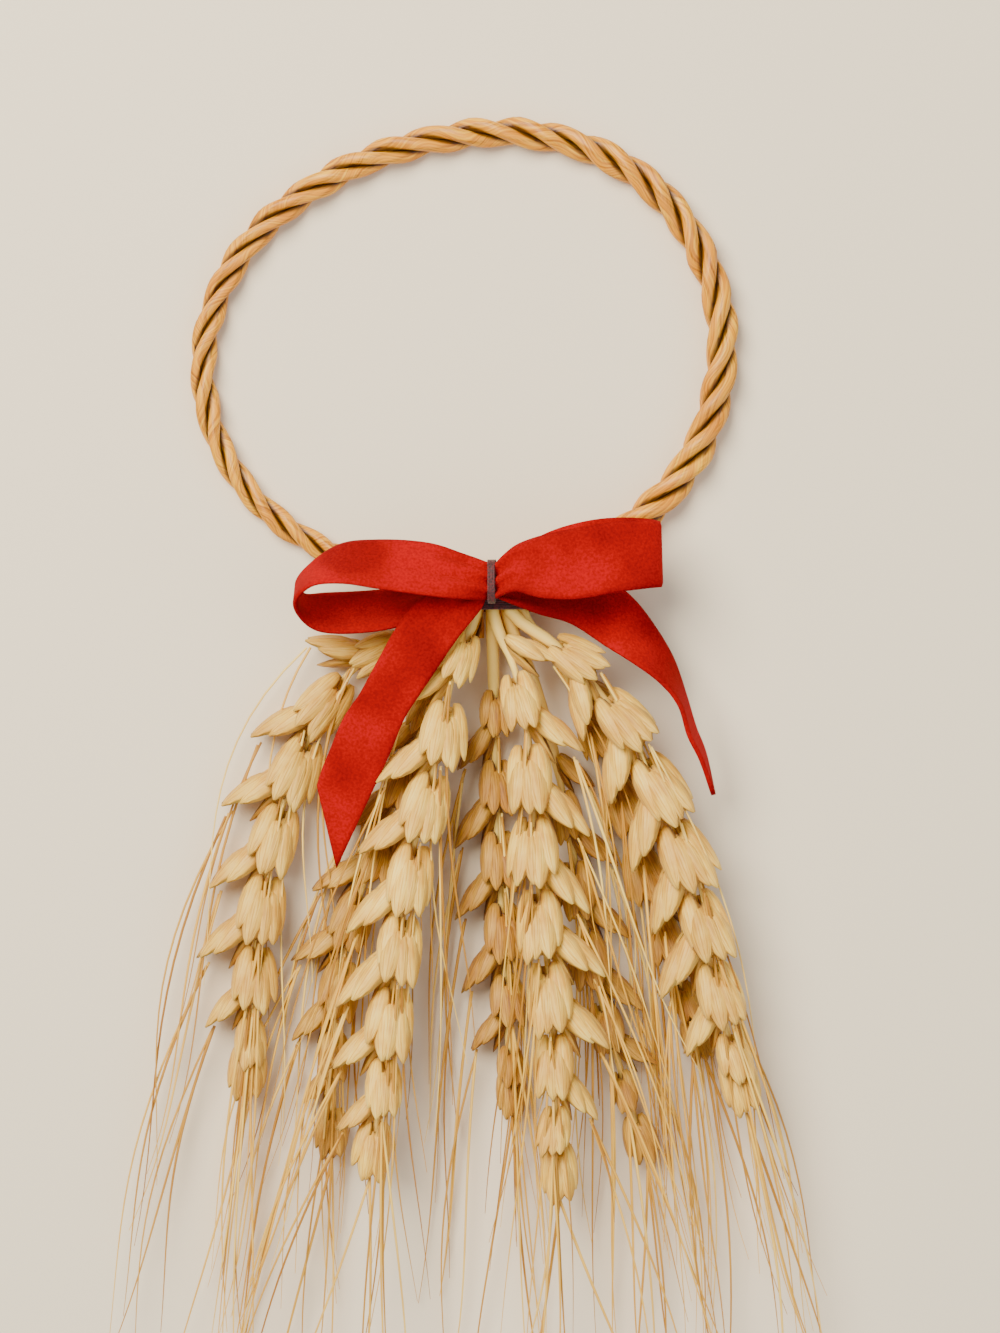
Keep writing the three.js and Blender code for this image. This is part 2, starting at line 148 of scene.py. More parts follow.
# Ribbon: each stretch is rows of edge A and edge B, from the pinch on.
LOOP_LIFT = 1.3
LEFT_LOOP = [
    ((-0.4, 3.2, 13.4), (-0.4, -2, 13.6)), ((-4, 4.4, 13.4), (-4, -1.9, 17.2)),
    ((-8.8, 6, 13.2), (-8.8, -1.5, 19.2)), ((-16.4, 6.6, 13), (-15.8, -0.6, 19.8)),
    ((-22, 6, 12), (-21.5, 0.2, 19.8)), ((-26.9, 2.8, 9.8), (-25.8, -0.2, 18.6)),
    ((-28.5, 0.5, 7.6), (-28.2, -2.4, 16.8)), ((-27.6, -1, 5.6), (-27.5, -4.8, 14.6)),
    ((-24.6, -0.9, 4.7), (-24.8, -6.6, 12.8)), ((-15.2, -0.3, 5.4), (-15.2, -6.3, 12.2)),
    ((-8, 1.4, 8), (-8, -4, 12.5)), ((-0.6, 2.8, 12.2), (-0.6, -1.8, 12.4)),
]
RIGHT_LOOP = [
    ((0.5, 3.2, 13.6), (0.5, -2, 13.6)), ((3, 5.6, 14.4), (3.4, -1, 16.6)),
    ((6.4, 7, 14.6), (6.6, -1.8, 18)), ((12, 8.2, 14.8), (12, -2, 17)),
    ((18, 9.2, 14.4), (18, -1, 16.2)), ((22.6, 9.5, 13.4), (22.8, -0.4, 15)),
    ((24.3, 9.4, 11.4), (24.5, -0.2, 12.8)), ((22.5, 9.9, 9.4), (22.6, 0, 10.4)),
    ((16, 9.9, 8.8), (16, -0.1, 10.2)), ((9, 8.2, 9.6), (9, -1, 10.8)),
    ((3.4, 5.2, 11.2), (3.4, -1.6, 11.8)), ((0.6, 3, 12.2), (0.6, -1.8, 12.4)),
]
LEFT_TAIL = [
    ((-0.8, 0.8, 14), (-0.8, -1.9, 14)), ((-8.6, -0.6, 15.4), (-1.4, -3.2, 14.6)),
    ((-13.4, -5.5, 14.6), (-4.9, -7.6, 14.4)), ((-16.4, -10.6, 14.2), (-7.8, -11.9, 14.2)),
    ((-19.1, -15.5, 13.6), (-10.3, -15.6, 13.8)), ((-21.5, -19.1, 12.8), (-12.6, -19.2, 13.4)),
    ((-23.6, -23.9, 11.8), (-14.8, -24.4, 12.6)), ((-24.8, -26.8, 11.2), (-18.2, -31.6, 11.2)),
    ((-25.5, -29, 10.6), (-22.7, -41.2, 9)),
]
RIGHT_TAIL = [
    ((0.8, 0.6, 13.8), (0.8, -1.9, 14)), ((6.5, 3.6, 10), (6.4, -4, 12.4)),
    ((13.5, 3.4, 7.6), (11.6, -5.5, 10.6)), ((20.4, -1.3, 7), (16.6, -8.7, 11)),
    ((24.4, -6.4, 6.6), (20.6, -11.2, 12.4)), ((27, -11, 5.6), (24.4, -14, 13)),
    ((28.6, -16, 5), (27.2, -17.4, 13.6)), ((30, -20.6, 4.6), (28.6, -21.8, 13.4)),
    ((31.4, -24.2, 4.2), (30.4, -25.2, 12)), ((32.8, -30.7, 4.4), (32.4, -30.3, 9)),
]
PINCH = {"y_from": -2, "y_to": 3.2, "z_from": 13.2, "z_to": 15.3}

# No awn runs further than this below the tie.
LOWEST_TIP = 134

# How the twist of each straw runs against the strand's own, so that it lies near the rope's line.
STRAW_BACK_TWIST = -1.7
STRAND_SIDES = 32
STEPS_PER_TURN = 22

AWN_STEPS = 14
BROKEN_AWN_CHANCE = 0.08
BROKEN_AWN_SHARE = 0.35
NECK = {"y": -2.4, "z": 5.5, "half_width": 6.7, "half_height": 5.15, "band": 2.4}


def tie_point():
    """The tie, on the table: the bow's thread goes round it."""
    low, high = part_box("bow_thread")
    pinch_y = (PINCH["y_from"] + PINCH["y_to"]) / 2
    return Vector(((low.x + high.x) / 2, (low.y + high.y) / 2 - pinch_y * MM, 0))


TIE = tie_point()


def placed(point):
    return TIE + Vector(point) * MM


def noise(number):
    return (math.sin(number * 12.9898) * 43758.5453) % 1.0


def jitter(number, size):
    return (2 * noise(number) - 1) * size


def mix(low, high, share):
    return low + (high - low) * share


def smooth(low, high, value):
    share = min(1, max(0, (value - low) / (high - low)))
    return share * share * (3 - 2 * share)


def frame_of(along):
    """The level direction square to a line of travel, and the one as near to up as can be."""
    across = UP.cross(along).normalized()
    return across, along.cross(across).normalized()


class Route:
    """A smooth path through points, read by the distance travelled."""

    def __init__(self, points, steps=300):
        self.points = [Vector(p) for p in points]
        self.line = [self.raw(k / steps) for k in range(steps + 1)]
        self.travelled = [0]
        for here, after in zip(self.line, self.line[1:]):
            self.travelled.append(self.travelled[-1] + (after - here).length)
        self.length = self.travelled[-1]

    def raw(self, share):
        """Centripetal Catmull-Rom, with the end spans run on straight."""
        points, spans = self.points, len(self.points) - 1
        k = min(int(share * spans), spans - 1)
        t = share * spans - k
        p1, p2 = points[k], points[k + 1]
        p0 = points[k - 1] if k > 0 else 2 * p1 - p2
        p3 = points[k + 2] if k + 2 <= spans else 2 * p2 - p1
        d0, d1, d2 = ((b - a).length ** 0.5 for a, b in ((p0, p1), (p1, p2), (p2, p3)))
        m1 = ((p1 - p0) / d0 - (p2 - p0) / (d0 + d1) + (p2 - p1) / d1) * d1
        m2 = ((p2 - p1) / d1 - (p3 - p1) / (d1 + d2) + (p3 - p2) / d2) * d1
        c2 = 3 * (p2 - p1) - 2 * m1 - m2
        c3 = 2 * (p1 - p2) + m1 + m2
        return p1 + m1 * t + c2 * t * t + c3 * t * t * t

    def at(self, distance):
        distance = min(max(distance, 0), self.length)
        low, high = 0, len(self.travelled) - 1
        while high - low > 1:
            middle = (low + high) // 2
            low, high = (middle, high) if self.travelled[middle] <= distance else (low, middle)
        span = self.travelled[high] - self.travelled[low]
        return self.line[low].lerp(self.line[high], (distance - self.travelled[low]) / span)

    def along(self, distance):
        nudge = self.length * 0.002
        return (self.at(distance + nudge) - self.at(distance - nudge)).normalized()


# ---------------------------------------------------------------- meshes


def new_piece(name, points, faces, material, uvs=None, painted_shades=None):
    """A mesh object at the origin. uvs has one pair a point, and the painted shade one number a
    point.
    """
    mesh = bpy.data.meshes.new(name)
    mesh.from_pydata([tuple(p) for p in points], [], faces)
    mesh.validate()
    if uvs:
        layer = mesh.uv_layers.new(name="UVMap")
        for loop in mesh.loops:
            layer.data[loop.index].uv = uvs[loop.vertex_index]
    # Painted shade: a number a point that the straw and chaff materials darken by.
    if painted_shades:
        attribute = mesh.attributes.new("painted_shade", "FLOAT", "POINT")
        attribute.data.foreach_set("value", painted_shades)
    for face in mesh.polygons:
        face.use_smooth = True
    piece = bpy.data.objects.new(name, mesh)
    bpy.context.scene.collection.objects.link(piece)
    if material:
        mesh.materials.append(material)
    return piece


def ring_faces(rings, sides):
    """Quads between rings of points that turn anticlockwise about the way of travel, and caps."""
    faces = []
    for k in range(rings - 1):
        here, after = k * sides, (k + 1) * sides
        for i in range(sides):
            j = (i + 1) % sides
            faces.append((here + i, here + j, after + j, after + i))
    last = (rings - 1) * sides
    faces.append(tuple(reversed(range(sides))))
    faces.append(tuple(range(last, last + sides)))
    return faces


def joined(name, pieces):
    """One object from several, with the first one's materials."""
    bpy.ops.object.select_all(action="DESELECT")
    for piece in pieces:
        piece.select_set(True)
    bpy.context.view_layer.objects.active = pieces[0]
    if len(pieces) > 1:
        bpy.ops.object.join()
    pieces[0].name = name
    pieces[0].data.name = name
    return pieces[0]


# ---------------------------------------------------------------- node trees


def add_node(tree, kind, settings=None, values=None, links=None):
    """Adds a node with its settings, its sockets' values and the links into it."""
    node = tree.nodes.new(kind)
    for key, value in (settings or {}).items():
        setattr(node, key, value)
    for key, value in (values or {}).items():
        node.inputs[key].default_value = value
    for key, source in (links or {}).items():
        tree.links.new(source, node.inputs[key])
    return node


def new_tree(name, inputs):
    """A geometry tree with its input and output nodes, and named inputs with their defaults."""
    tree = bpy.data.node_groups.new(name, "GeometryNodeTree")
    tree.interface.new_socket("Geometry", in_out="INPUT", socket_type="NodeSocketGeometry")
    for label, (kind, default) in inputs.items():
        socket = tree.interface.new_socket(label, in_out="INPUT", socket_type=kind)
        if default is not None:
            socket.default_value = default
    tree.interface.new_socket("Geometry", in_out="OUTPUT", socket_type="NodeSocketGeometry")
    return tree, add_node(tree, "NodeGroupInput"), add_node(tree, "NodeGroupOutput")


def finished_by(tree, name, source, inputs):
    """Runs a geometry tree on an object, keeps the plain mesh that it gives, drops the source."""
    modifier = source.modifiers.new("build", "NODES")
    modifier.node_group = tree
    for item in tree.interface.items_tree:
        if item.in_out == "INPUT" and item.name in inputs:
            modifier[item.identifier] = inputs[item.name]
    bpy.context.view_layer.update()
    graph = bpy.context.evaluated_depsgraph_get()
    mesh = bpy.data.meshes.new_from_object(source.evaluated_get(graph))
    bpy.data.objects.remove(source)
    mesh.name = name
    piece = bpy.data.objects.new(name, mesh)
    bpy.context.scene.collection.objects.link(piece)
    return piece


def polylines(name, lines, radii):
    """Edges along each line of points, with a radius and a line number kept on every point."""
    points, edges, thick, numbers = [], [], [], []
    for number, (line, widths) in enumerate(zip(lines, radii)):
        start = len(points)
        points += [tuple(p) for p in line]
        thick += list(widths)
        numbers += [noise(number + 0.37)] * len(line)
        edges += [(k, k + 1) for k in range(start, start + len(line) - 1)]
    mesh = bpy.data.meshes.new(name)
    mesh.from_pydata(points, edges, [])
    mesh.attributes.new("thick", "FLOAT", "POINT").data.foreach_set("value", thick)
    mesh.attributes.new("tint", "FLOAT", "POINT").data.foreach_set("value", numbers)
    source = bpy.data.objects.new(name, mesh)
    bpy.context.scene.collection.objects.link(source)
    return source


def tube_tree():
    """Tubes along lines: each point's radius is its own."""
    if "Tubes along lines" in bpy.data.node_groups:
        return bpy.data.node_groups["Tubes along lines"]
    tree, enter, leave = new_tree("Tubes along lines", {
        "Sides": ("NodeSocketInt", 6),
        "Material": ("NodeSocketMaterial", None),
    })
    curve = add_node(tree, "GeometryNodeMeshToCurve", links={"Mesh": enter.outputs["Geometry"]})
    thick = add_node(tree, "GeometryNodeInputNamedAttribute", {"data_type": "FLOAT"},
                     {"Name": "thick"})
    circle = add_node(tree, "GeometryNodeCurvePrimitiveCircle", {"mode": "RADIUS"},
                      {"Radius": 1.0}, {"Resolution": enter.outputs["Sides"]})
    tube = add_node(tree, "GeometryNodeCurveToMesh", values={"Fill Caps": True}, links={
        "Curve": curve.outputs["Curve"],
        "Profile Curve": circle.outputs["Curve"],
        "Scale": thick.outputs["Attribute"],
    })
    soft = add_node(tree, "GeometryNodeSetShadeSmooth", links={"Geometry": tube.outputs["Mesh"]})
    real = add_node(tree, "GeometryNodeRealizeInstances",
                    links={"Geometry": soft.outputs["Geometry"]})
    coated = add_node(tree, "GeometryNodeSetMaterial", links={
        "Geometry": real.outputs["Geometry"],
        "Material": enter.outputs["Material"],
    })
    tree.links.new(coated.outputs["Geometry"], leave.inputs["Geometry"])
    return tree


def tubes(name, lines, radii, sides, material):
    source = polylines(name + "_lines", lines, radii)
    return finished_by(tube_tree(), name, source, {"Sides": sides, "Material": material})


def spikelet_tree():
    """Spikelets picked at random from the kinds made, one on each point, turned and sized by it."""
    if "Spikelets on a spine" in bpy.data.node_groups:
        return bpy.data.node_groups["Spikelets on a spine"]
    tree, enter, leave = new_tree("Spikelets on a spine", {
        "Kinds": ("NodeSocketCollection", None),
        "Seed": ("NodeSocketInt", 3),
        "Full size": ("NodeSocketFloat", 1.0),
        "Material": ("NodeSocketMaterial", None),
    })
    kinds = add_node(tree, "GeometryNodeCollectionInfo", {"transform_space": "ORIGINAL"},
                     {"Separate Children": True, "Reset Children": True},
                     {"Collection": enter.outputs["Kinds"]})
    pick = add_node(tree, "FunctionNodeRandomValue", {"data_type": "INT"},
                    {4: 0, 5: 99}, {"Seed": enter.outputs["Seed"]})
    turn = add_node(tree, "GeometryNodeInputNamedAttribute", {"data_type": "FLOAT_VECTOR"},
                    {"Name": "turn"})
    rotation = add_node(tree, "FunctionNodeEulerToRotation",
                        links={"Euler": turn.outputs["Attribute"]})
    size = add_node(tree, "GeometryNodeInputNamedAttribute", {"data_type": "FLOAT"},
                    {"Name": "size"})
    grown = add_node(tree, "ShaderNodeMath", {"operation": "MULTIPLY"}, links={
        0: size.outputs["Attribute"], 1: enter.outputs["Full size"]})
    put = add_node(tree, "GeometryNodeInstanceOnPoints", values={"Pick Instance": True}, links={
        "Points": enter.outputs["Geometry"],
        "Instance": kinds.outputs["Instances"],
        "Instance Index": pick.outputs[2],
        "Rotation": rotation.outputs["Rotation"],
        "Scale": grown.outputs["Value"],
    })
    real = add_node(tree, "GeometryNodeRealizeInstances",
                    links={"Geometry": put.outputs["Instances"]})
    coated = add_node(tree, "GeometryNodeSetMaterial", links={
        "Geometry": real.outputs["Geometry"],
        "Material": enter.outputs["Material"],
    })
    tree.links.new(coated.outputs["Geometry"], leave.inputs["Geometry"])
    return tree


# ---------------------------------------------------------------- materials


def linear(hex_colour):
    """A linear colour, with alpha, from an sRGB hex value."""
    channels = [int(hex_colour[i:i + 2], 16) / 255 for i in (1, 3, 5)]
    return [c / 12.92 if c <= 0.04045 else ((c + 0.055) / 1.055) ** 2.4 for c in channels] + [1]


def ramp(tree, source, stops):
    """Colours along a value: stops are (place, hex colour)."""
    node = add_node(tree, "ShaderNodeValToRGB", links={"Fac": source})
    line = node.color_ramp
    while len(line.elements) < len(stops):
        line.elements.new(0.5)
    for element, (place, colour) in zip(line.elements, stops):
        element.position = place
        element.color = linear(colour)
    return node.outputs["Color"]


def blend(tree, share, first, second, kind="MIX"):
    """Mixes two colours. share is a socket or a number, and second a socket or a hex colour."""
    node = add_node(tree, "ShaderNodeMix", {"data_type": "RGBA", "blend_type": kind})
    for slot, value in ((0, share), (6, first), (7, second)):
        if isinstance(value, str):
            node.inputs[slot].default_value = linear(value)
        elif isinstance(value, (int, float)):
            node.inputs[slot].default_value = value
        else:
            tree.links.new(value, node.inputs[slot])
    return node.outputs[2]


def new_material(name, roughness, extra=None):
    material = bpy.data.materials.new(name)
    material.use_nodes = True
    tree = material.node_tree
    shader = tree.nodes["Principled BSDF"]
    shader.inputs["Roughness"].default_value = roughness
    for key, value in (extra or {}).items():
        shader.inputs[key].default_value = value
    return material, tree, shader


def streaks(tree, across, along, scale, detail=3):
    """Noise drawn out along a piece: across and along are streaks a millimetre on its UV map."""
    place = add_node(tree, "ShaderNodeTexCoord")
    sized = add_node(tree, "ShaderNodeMapping", values={"Scale": (across, along, 1)},
                     links={"Vector": place.outputs["UV"]})
    pattern = add_node(tree, "ShaderNodeTexNoise", values={"Scale": scale, "Detail": detail},
                       links={"Vector": sized.outputs["Vector"]})
    return pattern.outputs["Fac"]


def speckle(tree, per_metre, detail=2):
    """Even noise through space, from the object's own coordinates."""
    place = add_node(tree, "ShaderNodeTexCoord")
    pattern = add_node(tree, "ShaderNodeTexNoise", values={"Scale": per_metre, "Detail": detail},
                       links={"Vector": place.outputs["Object"]})
    return pattern.outputs["Fac"]


def attribute(tree, name):
    return add_node(tree, "ShaderNodeAttribute", {"attribute_name": name}).outputs["Fac"]


def bump(tree, shader, height, distance, strength=1):
    node = add_node(tree, "ShaderNodeBump", values={"Distance": distance, "Strength": strength},
                    links={"Height": height})
    tree.links.new(node.outputs["Normal"], shader.inputs["Normal"])


def straw_material(look):
    """Split and soaked wheat straw, dried in its twist: glossy and golden, with long fibres, and
    painted shade that darkens it down between the strands and along each straw's edge.
    """
    material, tree, shader = new_material("twisted_wheat_straw", 0.42, {"Specular IOR Level": 0.45})
    fibre = streaks(tree, 2.6, 0.09, 1.0, 4)
    golden = ramp(tree, fibre, [(0.28, look.straw_deep), (0.5, look.straw_mid),
                                (0.72, look.straw_light)])
    patch = ramp(tree, speckle(tree, 160), [(0.35, "#D89A40"), (0.65, "#FFFFFF")])
    varied = blend(tree, 0.35, golden, patch, "MULTIPLY")
    # Painted shade: darker down between the strands and along each straw's edge.
    painted_crease_shade = attribute(tree, "painted_shade")
    final = blend(tree, painted_crease_shade, varied, look.straw_painted_shade)
    tree.links.new(final, shader.inputs["Base Color"])
    bump(tree, shader, fibre, 0.00012, 0.7)
    return material


def husk_material(look):
    """Ripe wheat chaff: thin dry scales, pale and a little waxy, veined along their length, with
    painted shade on inner scales and on ears further back in the bundle.
    """
    material, tree, shader = new_material("ripe_wheat_chaff", 0.5, {
        "Specular IOR Level": 0.4, "Sheen Weight": 0.08, "Sheen Roughness": 0.5})
    veins = streaks(tree, 16, 1.6, 1.0, 3)
    pale = ramp(tree, veins, [(0.3, look.husk_mid), (0.5, look.husk_light), (0.75, look.husk_high)])
    # Painted shade: the chaff turns to this darker ramp on inner scales and on ears further back.
    deep = ramp(tree, veins, [(0.3, look.husk_painted_shade), (0.75, look.husk_mid)])
    base = blend(tree, attribute(tree, "painted_shade"), pale, deep)
    warm = ramp(tree, speckle(tree, 210, 3), [(0.38, "#D0A050"), (0.6, "#FFFFFF")])
    varied = blend(tree, 0.4, base, warm, "MULTIPLY")
    tree.links.new(varied, shader.inputs["Base Color"])
    bump(tree, shader, veins, 0.00018, 0.8)
    return material


def awn_material(look):
    """Dry wheat awns: stiff translucent bristles, straw yellow and faintly glossy."""
    material, tree, shader = new_material("dry_wheat_awn", 0.45, {"Specular IOR Level": 0.45})
    tone = ramp(tree, attribute(tree, "tint"), [(0.1, look.awn_deep), (0.55, look.awn_mid),
                                                (0.95, look.awn_light)])
    varied = blend(tree, 0.3, tone, ramp(tree, speckle(tree, 90), [(0.4, "#C79A55"),
                                                                  (0.6, "#FFFFFF")]), "MULTIPLY")
    tree.links.new(varied, shader.inputs["Base Color"])
    return material


def velvet_material(look):
    """Cotton velvet ribbon: a short dense pile, matt and deep red with a faint bloom."""
    material, tree, shader = new_material("red_cotton_velvet", 0.95, {
        "Specular IOR Level": 0.1, "Sheen Weight": 0.12, "Sheen Roughness": 0.35,
        "Sheen Tint": linear("#FF2030")})
    pile = speckle(tree, 2600, 2)
    brushed = speckle(tree, 110, 1)
    red = ramp(tree, brushed, [(0.35, look.velvet_deep), (0.62, look.velvet_light)])
    grained = blend(tree, 0.35, red, ramp(tree, pile, [(0.35, "#7A5A5A"), (0.65, "#FFFFFF")]),
                    "MULTIPLY")
    tree.links.new(grained, shader.inputs["Base Color"])
    bump(tree, shader, pile, 0.0002, 0.5)
    return material


def thread_material(look):
    """Mercerised cotton thread: dark red plies with a low lustre."""
    material, tree, shader = new_material("dark_cotton_thread", 0.6, {"Sheen Weight": 0.2})
    ply = speckle(tree, 3000, 1)
    tone = ramp(tree, ply, [(0.35, look.thread_deep), (0.65, look.thread_light)])
    tree.links.new(tone, shader.inputs["Base Color"])
    bump(tree, shader, ply, 0.0001)
    return material


def floor_material(hex_colour):
    """A matt pale board for the ornament to lie on."""
    material, _, shader = new_material("matt_pale_board", 0.9, {"Specular IOR Level": 0.2})
    shader.inputs["Base Color"].default_value = linear(hex_colour)
    return material


# ---------------------------------------------------------------- settings


def amount(label, default, note):
    return bpy.props.FloatProperty(name=label, description=note, default=default, min=0)


def colour(label, default, note):
    return bpy.props.StringProperty(name=label, description=note, default=default)


class StrawSettings(bpy.types.PropertyGroup):
    rope_thick: amount("Thick end", 2.85, "The rope's radius where it is thickest, in mm")
    rope_thin: amount("Thin end", 2.0, "The rope's radius where it is thinnest, in mm")
    rope_tied: amount("At the tie", 2.2, "The rope's radius where the thread draws it in, in mm")
    rope_turns: amount("Turns", 12, "Whole turns of the twist round the ring")
    straws: bpy.props.IntProperty(name="Straws", description="Straws that show round a strand",
                                  default=4, min=2, max=8)
    straw_light: colour("Light", "#FFC830", "Straw where it catches the light")
    straw_mid: colour("Middle", "#E89C10", "The straw's own colour")
    straw_deep: colour("Deep", "#A86400", "The darker fibres")
    # Painted shade: this dark colour is mixed in down between two strands and along the straws'
    # edges, where shade falls.
    straw_painted_shade: colour("Crease", "#3A1A00", "Down between two strands")


class EarSettings(bpy.types.PropertyGroup):
    pitch: amount("Pitch", 5.3, "Distance along the ear from a spikelet to the next, in mm")
    scale_length: amount("Scale length", 10.6, "Length of a spikelet's longest scale, in mm")
    scale_width: amount("Scale width", 4.3, "Width of a scale, in mm")
    splay: amount("Splay", 24, "Angle between a spikelet and the ear, in degrees")
    awn_radius: amount("Awn radius", 0.21, "An awn's radius where it leaves its scale, in mm")
    husk_high: colour("Highlight", "#FFE888", "The palest chaff")
    husk_light: colour("Light", "#FFD050", "Chaff in front")
    husk_mid: colour("Middle", "#DE9C22", "Chaff between")
    # Painted shade: this dark colour stands for the shade on inner scales and on ears deep in the
    # bundle.
    husk_painted_shade: colour("Deep", "#6A3800", "Chaff deep in the bundle")
    awn_light: colour("Awn light", "#FFDC70", "The palest awns")
    awn_mid: colour("Awn middle", "#EDB840", "Most awns")
    awn_deep: colour("Awn deep", "#B07818", "The darkest awns")


class RibbonSettings(bpy.types.PropertyGroup):
    thick: amount("Thickness", 0.7, "The ribbon's thickness with its pile, in mm")
    width: amount("Width", 10, "The ribbon's width when it is flat, in mm")
    cut_length: amount("Cut length", 205, "The whole ribbon's length when it is flat, in mm")
    velvet_light: colour("Light", "#B00008", "Pile that leans to the light")
    velvet_deep: colour("Deep", "#8A0004", "Pile that leans away")
    thread_light: colour("Thread light", "#5A0C10", "The thread's plies")
    thread_deep: colour("Thread deep", "#2A0406", "Between the plies")


class StageSettings(bpy.types.PropertyGroup):
    floor_colour: colour("Floor", "#F2E4C8", "The board under the ornament")
    key_power: amount("Key light", 9.5, "Power of the large soft light, in watts")
    fill_power: amount("Fill light", 1.5, "Power of the second light, in watts")


class OrnamentSettings(bpy.types.PropertyGroup):
    straw: bpy.props.PointerProperty(type=StrawSettings, name="Straw")
    ears: bpy.props.PointerProperty(type=EarSettings, name="Ears")
    ribbon: bpy.props.PointerProperty(type=RibbonSettings, name="Ribbon")
    stage: bpy.props.PointerProperty(type=StageSettings, name="Stage")


def settings():
    return bpy.context.scene.ornament


# ---------------------------------------------------------------- ring of straw


def rope_radius(share, straw):
    free = mix(straw.rope_thick, straw.rope_thin, min(1, share * 1.25))
    return min(free, straw.rope_tied + share * 12)


def ring_route(straw):
    points = list(RING_START)
    for i in range(RING_POINTS + 1):
        degrees = mix(RING_FROM, RING_TO, i / RING_POINTS)
        angle = math.radians(degrees)
        radius = (RING["mean"] + RING["high"] * math.sin(angle)
                  + RING["oval"] * math.cos(2 * angle) + RING["lean"] * math.sin(2 * angle)
                  - RING["square"] * math.cos(3 * angle))
        share = (degrees - RING_FROM) / (RING_TO - RING_FROM)
        points.append((RING["x"] + radius * math.cos(angle), RING["y"] + radius * math.sin(angle),
                       rope_radius(share, straw) * 0.9))
    return Route(points + RING_END, 900)


def straw_edge(turn, straws):
    """How far out a bundle's skin is at an angle: flat straws that lap like tiles, 0 to 1."""
    place = (turn / TURN * straws) % 1
    flat = math.cos(math.pi / straws) / math.cos((place - 0.5) * TURN / straws)
    lap = 0.07 * (0.5 - place)
    groove = 0.1 * (1 - smooth(0, 0.1, min(place, 1 - place)))
    return mix(1, flat, 0.35) + lap - groove


def strand_mesh(index, straw, route):
    """One strand as a bundle of straws that keep nearly in line with the rope as it twists."""
    sides = STRAND_SIDES
    steps = int(straw.rope_turns * STEPS_PER_TURN)
    points, uvs, painted_shades = [], [], []
    spread = math.sin(math.pi / 3)
    for k in range(steps + 1):
        share = k / steps
        distance = share * route.length
        across, above = frame_of(route.along(distance))
        turn = TURN * (straw.rope_turns * share + index / 3)
        wander = 0.05 * math.sin(share * 61 + index * 2.1) + 0.04 * math.sin(share * 143 + index)
        radius = rope_radius(share, straw) * (1 + wander)
        strand = radius * spread / (1 + spread) * 1.05
        offset = radius - strand
        centre = (route.at(distance) + across * offset * math.cos(turn)
                  + above * offset * math.sin(turn))
        back_twist = STRAW_BACK_TWIST * turn + index * 1.7 + 0.5 * math.sin(share * 47 + index)
        for i in range(sides):
            angle = TURN * i / sides
            skin = strand * straw_edge(angle - back_twist - turn, straw.straws)
            spot = centre + (across * math.cos(angle) + above * math.sin(angle)) * skin
            spot.z = max(spot.z, 0)
            points.append(placed(spot))
            # Painted shade: points that face in towards the other strands, and the straws' edges,
            # are darkened.
            outward = math.cos(angle - turn)
            lap = ((angle - back_twist - turn) / TURN * straw.straws) % 1
            edge = 1 - smooth(0.02, 0.12, min(lap, 1 - lap))
            painted_shades.append(min(1, 0.9 * (1 - smooth(-0.35, 0.2, outward)) + 0.4 * edge))
            uvs.append(((angle - back_twist - turn) * strand, distance))
    return points, ring_faces(steps + 1, sides), uvs, painted_shades


class ORNAMENT_OT_ring(bpy.types.Operator):
    """Makes the three strands of straw that are twisted into the ring"""

    bl_idname = "ornament.ring"
    bl_label = "Ring of straw"

    def execute(self, context):
        straw = settings().straw
        route = ring_route(straw)
        material = straw_material(straw)
        for index, node in enumerate(STRANDS):
            points, faces, uvs, painted_shades = strand_mesh(index, straw, route)
            piece = new_piece("straw_strand_%d" % (index + 1), points, faces, material, uvs, painted_shades)
            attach(piece, "root")
            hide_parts(node)
        return {"FINISHED"}


# ---------------------------------------------------------------- ears


def scale_mesh(ears, length_share, width_share):
    """A boat-shaped scale of chaff along +Y, keel to +Z: rings of points, with UVs."""
    long = ears.scale_length * length_share
    half = ears.scale_width * width_share / 2
    rings, uvs = [], []
    for share in SCALE_STATIONS:
        full = min(1, (share + 0.05) ** 0.6 * (1.02 - share) ** 0.75 * 2.3)
        wide = half * full
        deep = half * 0.95 * full * (1 - 0.35 * share)
        upturn = 0.35 * share * share * half
        rings.append([Vector((place * wide, share * long, level * deep * 0.9 + upturn))
                      for place, level in SCALE_SECTION])
        uvs += [((place + 1) / 2, share) for place, _ in SCALE_SECTION]
    return rings, uvs


def add_scale(parts, ears, place, tilt, lean, roll, sizes, painted_shade):
    """Adds one scale to a spikelet: tilt is its sideways angle, lean its outward one, and the last
    number is how much painted shade darkens it.
    """
    rings, uvs = scale_mesh(ears, *sizes)
    turn = (Matrix.Rotation(math.radians(-tilt), 3, "Z")
            @ Matrix.Rotation(math.radians(lean), 3, "X")
            @ Matrix.Rotation(math.radians(roll), 3, "Y"))
    start = len(parts["points"])
    sides = len(rings[0])
    for ring in rings:
        parts["points"] += [(turn @ p + Vector(place)) * MM for p in ring]
        parts["painted_shades"] += [painted_shade] * sides
    parts["uvs"] += uvs
    parts["faces"] += [tuple(start + i for i in face) for face in ring_faces(len(rings), sides)]


